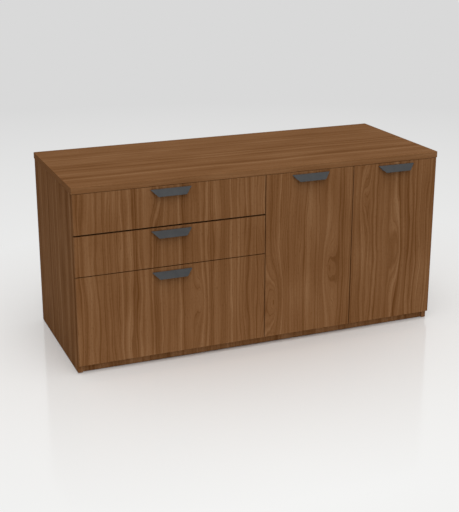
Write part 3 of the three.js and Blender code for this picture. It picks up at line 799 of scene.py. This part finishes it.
class CREDENZA_OT_pulls(bpy.types.Operator):
    """Folds the five sheet pulls, and sets the screws that hold them"""

    bl_idname = "credenza.pulls"
    bl_label = "Pulls"

    bend_steps = 14
    corner_steps = 6

    def execute(self, context):
        sizes = context.scene.credenza_sizes
        coat = material_named("charcoal_powder_coat", powder_coat)
        for front in FRONTS:
            node = front.replace("_front", "") + "_pull"
            body = BODY_OF[node]
            stand_in(node, self.folded(node, f"{body}_folded_pull", sizes), "charcoal_pull", coat)
            low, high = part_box(node)
            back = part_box(front)[1].y
            height = high.z - sizes.pull_leg / 2
            half = sizes.pull_screw_spacing / 2
            middle = centre_of(low, high).x
            places = [((middle + side * half, back, height), (0, 1, 0)) for side in (-1, 1)]
            screws(f"{body}_pull_screws", places, zinc_steel(), body)
        return {"FINISHED"}

    def rows(self, high, reach, sizes):
        """The fold's outer points, leg to lip, each with its inward side and how far it draws in."""
        bend, slope = sizes.pull_bend, sizes.pull_slope
        outward = Vector((math.sin(slope), math.cos(slope)))
        down = Vector((math.cos(slope), -math.sin(slope)))
        centre = Vector((bend, high.z - bend))
        points = [(Vector((0, high.z - sizes.pull_leg)), Vector((1, 0)), 0)]
        for step in range(self.bend_steps + 1):
            angle = math.pi - step / self.bend_steps * (math.pi / 2 + slope)
            spoke = Vector((math.cos(angle), math.sin(angle)))
            points.append((centre + bend * spoke, -spoke, 0))
        start = centre + bend * outward
        face = (reach - start.x) / down.x
        for step in range(self.corner_steps + 1):
            angle = step / self.corner_steps * math.pi / 2
            from_lip = sizes.pull_corner * (1 - math.sin(angle))
            drawn_in = sizes.pull_corner * (1 - math.cos(angle))
            points.append((start + (face - from_lip) * down, -outward, drawn_in))
        return points

    def folded(self, node, name, sizes):
        """A sheet folded once: a leg on the front, a tight bend, and a tapered face that slopes out."""
        low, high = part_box(node)
        middle = centre_of(low, high).x
        top_half = (high.x - low.x) / 2
        taper = (top_half - sizes.pull_lower_width / 2) / (high.z - low.z)
        shape = bmesh.new()
        rings = []
        for outer, inward, drawn_in in self.rows(high, high.y - low.y, sizes):
            inner = outer + sizes.pull_sheet * inward
            ring = []
            for point, side in ((outer, -1), (outer, 1), (inner, 1), (inner, -1)):
                half = top_half - taper * (high.z - point.y) - drawn_in
                ring.append(shape.verts.new((middle + side * half, high.y - point.x, point.y)))
            rings.append(ring)
        for one, two in zip(rings, rings[1:]):
            for i in range(4):
                j = (i + 1) % 4
                shape.faces.new((one[i], one[j], two[j], two[i]))
        shape.faces.new(rings[0])
        shape.faces.new(rings[-1])
        bmesh.ops.recalc_face_normals(shape, faces=shape.faces)
        return rounded(shape, name, sizes.edge_round, segments=3)


class CREDENZA_OT_slides(bpy.types.Operator):
    """Finishes the ball-bearing slides, and adds their caged balls and screws"""

    bl_idname = "credenza.slides"
    bl_label = "Slides"

    balls_in_row = 18
    pitches_to_first_ball = 2
    screw_shares = (0.09, 0.45, 0.9)

    def execute(self, context):
        sizes = context.scene.credenza_sizes
        for row in DRAWERS:
            for side, inward in (("left", 1), ("right", -1)):
                self.dress(f"{row}_drawer_{side}_slide", zinc_steel(), sizes, inward)
        return {"FINISHED"}

    def dress(self, slide, zinc, sizes, inward):
        """One slide: rolled channels, balls between them, and screws through their webs."""
        members = [slide + part for part in ("_cabinet_member", "_runner", "_drawer_member")]
        members = [node for node in members if node in NODES]
        for node in members:
            mesh = rounded(merged_copy(node), node + "_rolled", sizes.edge_round)
            stand_in(node, mesh, "zinc_steel", zinc)
        tree = bpy.data.node_groups.get("caged_balls") or ball_tree()
        values = {
            "Radius": sizes.ball / 2, "Pitch": sizes.ball_pitch,
            "Cage": sizes.cage_width, "Sheet": sizes.cage_sheet,
        }
        for outer, inner in zip(members, members[1:]):
            places = self.ball_places(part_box(outer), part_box(inner), sizes)
            grown(outer + "_balls", tree, places, values, zinc, BODY_OF[outer])
        self.fasten(members[0], inward, zinc, sizes)
        self.fasten(members[-1], -inward, zinc, sizes)

    def ball_places(self, outer, inner, sizes):
        """Two rows of points at the front of a channel, between the flanges of its two members."""
        x = (max(outer[0].x, inner[0].x) + min(outer[1].x, inner[1].x)) / 2
        gap = (outer[1].z - inner[1].z - sizes.slide_sheet) / 2
        first = outer[0].y + self.pitches_to_first_ball * sizes.ball_pitch
        return [
            ((x, first + i * sizes.ball_pitch, z), (0, 0, 1))
            for z in (inner[1].z + gap, inner[0].z - gap)
            for i in range(self.balls_in_row)
        ]

    def fasten(self, node, facing, zinc, sizes):
        """Screws through the web of a member, spaced along it."""
        low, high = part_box(node)
        web = low.x if facing > 0 else high.x
        face = web + facing * sizes.slide_sheet
        middle = centre_of(low, high).z
        rows = [low.y + share * (high.y - low.y) for share in self.screw_shares]
        places = [((face, y, middle), (facing, 0, 0)) for y in rows]
        screws(node + "_screws", places, zinc, BODY_OF[node])


class CREDENZA_OT_hinges(bpy.types.Operator):
    """Rebuilds the concealed hinges with smooth rounds, and adds their screws"""

    bl_idname = "credenza.hinges"
    bl_label = "Hinges"

    def execute(self, context):
        sizes = context.scene.credenza_sizes
        nickel = nickel_steel()
        for hinge in HINGES:
            for part in ("_arm", "_link", "_cup"):
                node = hinge + part
                mesh = mesh_of(merged_copy(node), node + "_pressed")
                stand_in(node, mesh, "hinge_steel", nickel)
            self.fasten_cup(hinge, nickel, sizes)
            self.fasten_arm(hinge, nickel, sizes)
        return {"FINISHED"}

    def fasten_cup(self, hinge, nickel, sizes):
        """A screw through each wing of the cup."""
        low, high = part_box(hinge + "_cup")
        middle = centre_of(low, high)
        wing = (high.z - low.z) / 2 - sizes.screw_head
        places = [((middle.x, high.y, middle.z + side * wing), (0, 1, 0)) for side in (-1, 1)]
        screws(hinge + "_cup_screws", places, nickel, BODY_OF[hinge + "_cup"])

    def fasten_arm(self, hinge, nickel, sizes):
        """Two screws through the plate's wings, and two that fix and adjust the arm."""
        low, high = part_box(hinge + "_arm")
        out = 1 if hinge.startswith("left") else -1
        panel, face = (low.x, high.x) if out > 0 else (high.x, low.x)
        wing = panel + out * sizes.plate_thickness
        middle = centre_of(low, high).z
        half = sizes.plate_screw_spacing / 2
        plate_y = high.y - sizes.plate_place
        arm_y = [high.y - sizes.arm_screw_near, high.y - sizes.arm_screw_far]
        places = [((wing, plate_y, middle + side * half), (out, 0, 0)) for side in (-1, 1)]
        places += [((face, y, middle), (out, 0, 0)) for y in arm_y]
        screws(hinge + "_arm_screws", places, nickel, BODY_OF[hinge + "_arm"])


class CREDENZA_OT_levellers(bpy.types.Operator):
    """Finishes the levellers in nylon, with threaded stems"""

    bl_idname = "credenza.levellers"
    bl_label = "Levellers"

    turns = 6

    def execute(self, context):
        sizes = context.scene.credenza_sizes
        nylon = material_named("black_nylon", moulded_nylon)
        tree = bpy.data.node_groups.get("thread_rings") or thread_tree()
        values = {
            "Core": sizes.thread_core / 2, "Crest": sizes.thread_crest / 2, "Rise": sizes.thread_pitch / 2
        }
        for node in LEVELLERS:
            mesh = mesh_of(merged_copy(node), node + "_moulded")
            stand_in(node, mesh, "leveller_plastic", nylon)
            middle = centre_of(*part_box(node))
            heights = [sizes.thread_foot + turn * sizes.thread_pitch for turn in range(self.turns)]
            places = [((middle.x, middle.y, height), (0, 0, 1)) for height in heights]
            grown(node + "_thread", tree, places, values, zinc_steel(), "cabinet")
        return {"FINISHED"}


class CREDENZA_OT_bumpers(bpy.types.Operator):
    """Sticks clear bumpers behind the fronts where they meet the carcass"""

    bl_idname = "credenza.bumpers"
    bl_label = "Bumpers"

    # From a front's edge to the middle of a bumper, in widths of a bumper.
    door_inset = 4
    drawer_inset = 2

    def execute(self, context):
        sizes = context.scene.credenza_sizes
        gum = material_named("clear_silicone", clear_silicone)
        tree = bpy.data.node_groups.get("bumper_dots") or bumper_tree()
        values = {"Radius": sizes.bumper / 2, "Rise": sizes.bumper_rise}
        for front in FRONTS:
            low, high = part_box(front)
            spots = self.spots(front, low, high, sizes.bumper)
            places = [((x, high.y, z), (0, 1, 0)) for x, z in spots]
            grown(front + "_bumpers", tree, places, values, gum, BODY_OF[front])
        return {"FINISHED"}

    def spots(self, front, low, high, width):
        """A door's free lower corner, or a drawer front's four, each over the edge of a board."""
        if front in DOORS:
            inset = self.door_inset * width
            x = high.x - inset if front == "left_door" else low.x + inset
            return [(x, centre_of(*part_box("cabinet_floor")).z)]
        columns = (
            (low.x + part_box("left_end_panel")[1].x) / 2,
            (high.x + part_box("centre_divider")[0].x) / 2,
        )
        inset = self.drawer_inset * width
        return [(x, z) for x in columns for z in (low.z + inset, high.z - inset)]


# The photograph's camera: place in metres, heading and dip in degrees, focal length and axis in pixels.
CAMERA_PLACE = (-1.6397, -3.9387, 1.731)
CAMERA_HEADING = -22.11
CAMERA_DIP = 17.52
FOCAL_PIXELS = 1080.4
AXIS_PIXELS = (227.87, 233.83)

# The floor, in metres: half its width, its paint and its polish.
FLOOR_HALF = 60
FLOOR_TONE = "e9e6e3"
FLOOR_IOR = 2.0
FLOOR_ROUGHNESS = 0.1

# The floor's glow, seen only by the camera and in gloss, is painted light: its tones near and far from a
# centre, a painted falloff from bright to dim, and the distances from the cabinet, scaled on each axis,
# where it sets in and is full, painting over the cabinet's shadow as it sets in.
NEAR_PAINTED_LIGHT = "f5f5f4"
FAR_TONE = "d9d9d9"
TONE_CENTRE = (-0.3, -1.2, 0.0)
TONE_REACH = 6.2
PAINTED_LIGHT_SHAPE = (0.72, 1.0, 1.0)
PAINTED_LIGHT_RANGE = (0.35, 1.45)

# The light: the room's strength, and the place, target, size and power of a high soft lamp.
ROOM_LIGHT = 0.54
LAMP_PLACE = (-0.6, -3.3, 6.6)
LAMP_TARGET = (0, 0, 0.4)
LAMP_SIZE = (5.0, 10.0)
LAMP_WATTS = 428

# A weak lamp along the floor adds to the light that the floor throws up at the fronts.
FILL_PLACE = (-0.3, -0.52, 0.002)
FILL_TARGET = (-0.3, -0.52, 1.0)
FILL_SIZE = (2.4, 0.5)
FILL_WATTS = 1.3


class CREDENZA_OT_stage(bpy.types.Operator):
    """Lays the pale floor, sets the soft lamps, and puts the camera where the photograph was taken"""

    bl_idname = "credenza.stage"
    bl_label = "Studio"

    def execute(self, context):
        self.floor(context.scene)
        self.room(context.scene)
        self.lamp(context.scene, "softbox", LAMP_PLACE, LAMP_TARGET, LAMP_SIZE, LAMP_WATTS)
        self.lamp(context.scene, "floor_bounce", FILL_PLACE, FILL_TARGET, FILL_SIZE, FILL_WATTS)
        self.camera(context.scene)
        context.scene.view_settings.view_transform = "Standard"
        return {"FINISHED"}

    def floor(self, scene):
        """A wide polished floor that runs out into an even, pale backdrop."""
        corners = [(x * FLOOR_HALF, y * FLOOR_HALF, 0) for x, y in ((-1, -1), (1, -1), (1, 1), (-1, 1))]
        mesh = bpy.data.meshes.new("studio_floor")
        mesh.from_pydata(corners, [], [(0, 1, 2, 3)])
        mesh.materials.append(self.floor_material())
        floor = bpy.data.objects.new("studio_floor", mesh)
        scene.collection.objects.link(floor)

    def floor_material(self):
        """Polished pale floor: a faint mirror that keeps the shadow close by, under a painted glow that dims
        to an even tone farther out.
        """
        material, tree, shader = new_material("polished_pale_floor")
        shader.inputs["Roughness"].default_value = FLOOR_ROUGHNESS
        shader.inputs["IOR"].default_value = FLOOR_IOR
        shader.inputs["Base Color"].default_value = opaque(linear(FLOOR_TONE))
        place = add_node(tree, "ShaderNodeTexCoord").outputs["Object"]
        away = add_node(tree, "ShaderNodeVectorMath", {"operation": "DISTANCE"}, _0=place, _1=TONE_CENTRE)
        far = add_node(tree, "ShaderNodeMapRange", Value=away.outputs["Value"], From_Max=TONE_REACH)
        # Painted light: the glow's tone falls from bright near a centre to dim far out, in place of the
        # lamps' falloff.
        tone = add_node(
            tree, "ShaderNodeMix", {"data_type": "RGBA"}, _0=far.outputs["Result"],
            _6=opaque(linear(NEAR_PAINTED_LIGHT)), _7=opaque(linear(FAR_TONE)),
        )
        around = add_node(tree, "ShaderNodeMapping", Vector=place, Scale=PAINTED_LIGHT_SHAPE)
        reach = add_node(tree, "ShaderNodeVectorMath", {"operation": "LENGTH"}, _0=around.outputs["Vector"])
        # Painted light: away from the cabinet the glow takes the place of the lit floor for the camera and
        # gloss, and paints out its shadow.
        share = add_node(
            tree, "ShaderNodeMapRange", Value=reach.outputs["Value"],
            From_Min=PAINTED_LIGHT_RANGE[0], From_Max=PAINTED_LIGHT_RANGE[1],
        )
        seen = add_node(
            tree, "ShaderNodeMath", {"operation": "MULTIPLY"},
            _0=share.outputs["Result"], _1=self.seen_directly(tree),
        )
        painted_glow = add_node(tree, "ShaderNodeEmission", Color=tone.outputs[2])
        both = add_node(
            tree, "ShaderNodeMixShader",
            _0=seen.outputs[0], _1=shader.outputs["BSDF"], _2=painted_glow.outputs["Emission"],
        )
        tree.links.new(both.outputs["Shader"], tree.get_output_node("ALL").inputs["Surface"])
        return material

    def seen_directly(self, tree):
        """1 for rays from the camera, and for those that reach it by way of gloss or glass."""
        path = add_node(tree, "ShaderNodeLightPath")
        seen = path.outputs["Is Camera Ray"]
        for name in ("Is Glossy Ray", "Is Transmission Ray"):
            seen = add_node(
                tree, "ShaderNodeMath", {"operation": "MAXIMUM"}, _0=seen, _1=path.outputs[name]
            ).outputs[0]
        return seen

    def room(self, scene):
        """An even room light, with the backdrop's tone where the camera looks past the floor."""
        world = bpy.data.worlds.new("studio_room")
        scene.world = world
        world.use_nodes = True
        tree = world.node_tree
        tree.nodes.clear()
        room = add_node(tree, "ShaderNodeBackground", Color=(1, 1, 1, 1), Strength=ROOM_LIGHT)
        backdrop = add_node(tree, "ShaderNodeBackground", Color=opaque(linear(FAR_TONE)))
        both = add_node(
            tree, "ShaderNodeMixShader", _0=self.seen_directly(tree),
            _1=room.outputs["Background"], _2=backdrop.outputs["Background"],
        )
        add_node(tree, "ShaderNodeOutputWorld", Surface=both.outputs["Shader"])

    def lamp(self, scene, name, place, target, size, watts):
        """A soft lamp that shines towards a target, and that neither camera nor polished floor shows."""
        light = bpy.data.lights.new(name, "AREA")
        light.shape = "RECTANGLE"
        light.size, light.size_y = size
        light.energy = watts
        holder = bpy.data.objects.new(name, light)
        holder.visible_camera = False
        holder.visible_glossy = False
        scene.collection.objects.link(holder)
        aim = (Vector(target) - Vector(place)).to_track_quat("-Z", "Y").to_matrix().to_4x4()
        holder.matrix_world = Matrix.Translation(place) @ aim

    def camera(self, scene):
        """The photograph's camera."""
        data = bpy.data.cameras.new("photograph")
        data.lens = FOCAL_PIXELS * data.sensor_width / IMAGE_HEIGHT
        data.shift_x = (IMAGE_WIDTH / 2 - AXIS_PIXELS[0]) / IMAGE_HEIGHT
        data.shift_y = (AXIS_PIXELS[1] - IMAGE_HEIGHT / 2) / IMAGE_HEIGHT
        data.clip_end = 4 * FLOOR_HALF
        holder = bpy.data.objects.new("photograph", data)
        scene.collection.objects.link(holder)
        holder.location = CAMERA_PLACE
        holder.rotation_euler = (math.radians(90 - CAMERA_DIP), 0, math.radians(CAMERA_HEADING))
        scene.camera = holder


PIECES = (
    CREDENZA_OT_boards,
    CREDENZA_OT_shelf,
    CREDENZA_OT_drawer_boxes,
    CREDENZA_OT_pulls,
    CREDENZA_OT_slides,
    CREDENZA_OT_hinges,
    CREDENZA_OT_levellers,
    CREDENZA_OT_bumpers,
    CREDENZA_OT_stage,
)


class CREDENZA_PT_sidebar(bpy.types.Panel):
    """Lists the finishes, the sizes and the pieces of the credenza"""

    bl_idname = "CREDENZA_PT_sidebar"
    bl_label = "Credenza"
    bl_space_type = "VIEW_3D"
    bl_region_type = "UI"
    bl_category = "Credenza"

    def draw(self, context):
        for group in (context.scene.credenza_finishes, context.scene.credenza_sizes):
            column = self.layout.column()
            for name in group.__annotations__:
                column.prop(group, name)
        for operator in PIECES:
            self.layout.operator(operator.bl_idname)


CLASSES = (CredenzaFinishes, CredenzaSizes, *PIECES, CREDENZA_PT_sidebar)


def register():
    for item in CLASSES:
        bpy.utils.register_class(item)
    bpy.types.Scene.credenza_finishes = bpy.props.PointerProperty(type=CredenzaFinishes)
    bpy.types.Scene.credenza_sizes = bpy.props.PointerProperty(type=CredenzaSizes)


def unregister():
    del bpy.types.Scene.credenza_sizes
    del bpy.types.Scene.credenza_finishes
    for item in reversed(CLASSES):
        bpy.utils.unregister_class(item)


def main():
    register()
    bpy.ops.credenza.boards()
    bpy.ops.credenza.shelf()
    bpy.ops.credenza.drawer_boxes()
    bpy.ops.credenza.pulls()
    bpy.ops.credenza.slides()
    bpy.ops.credenza.hinges()
    bpy.ops.credenza.levellers()
    bpy.ops.credenza.bumpers()
    bpy.ops.credenza.stage()


if __name__ == "__main__":
    main()
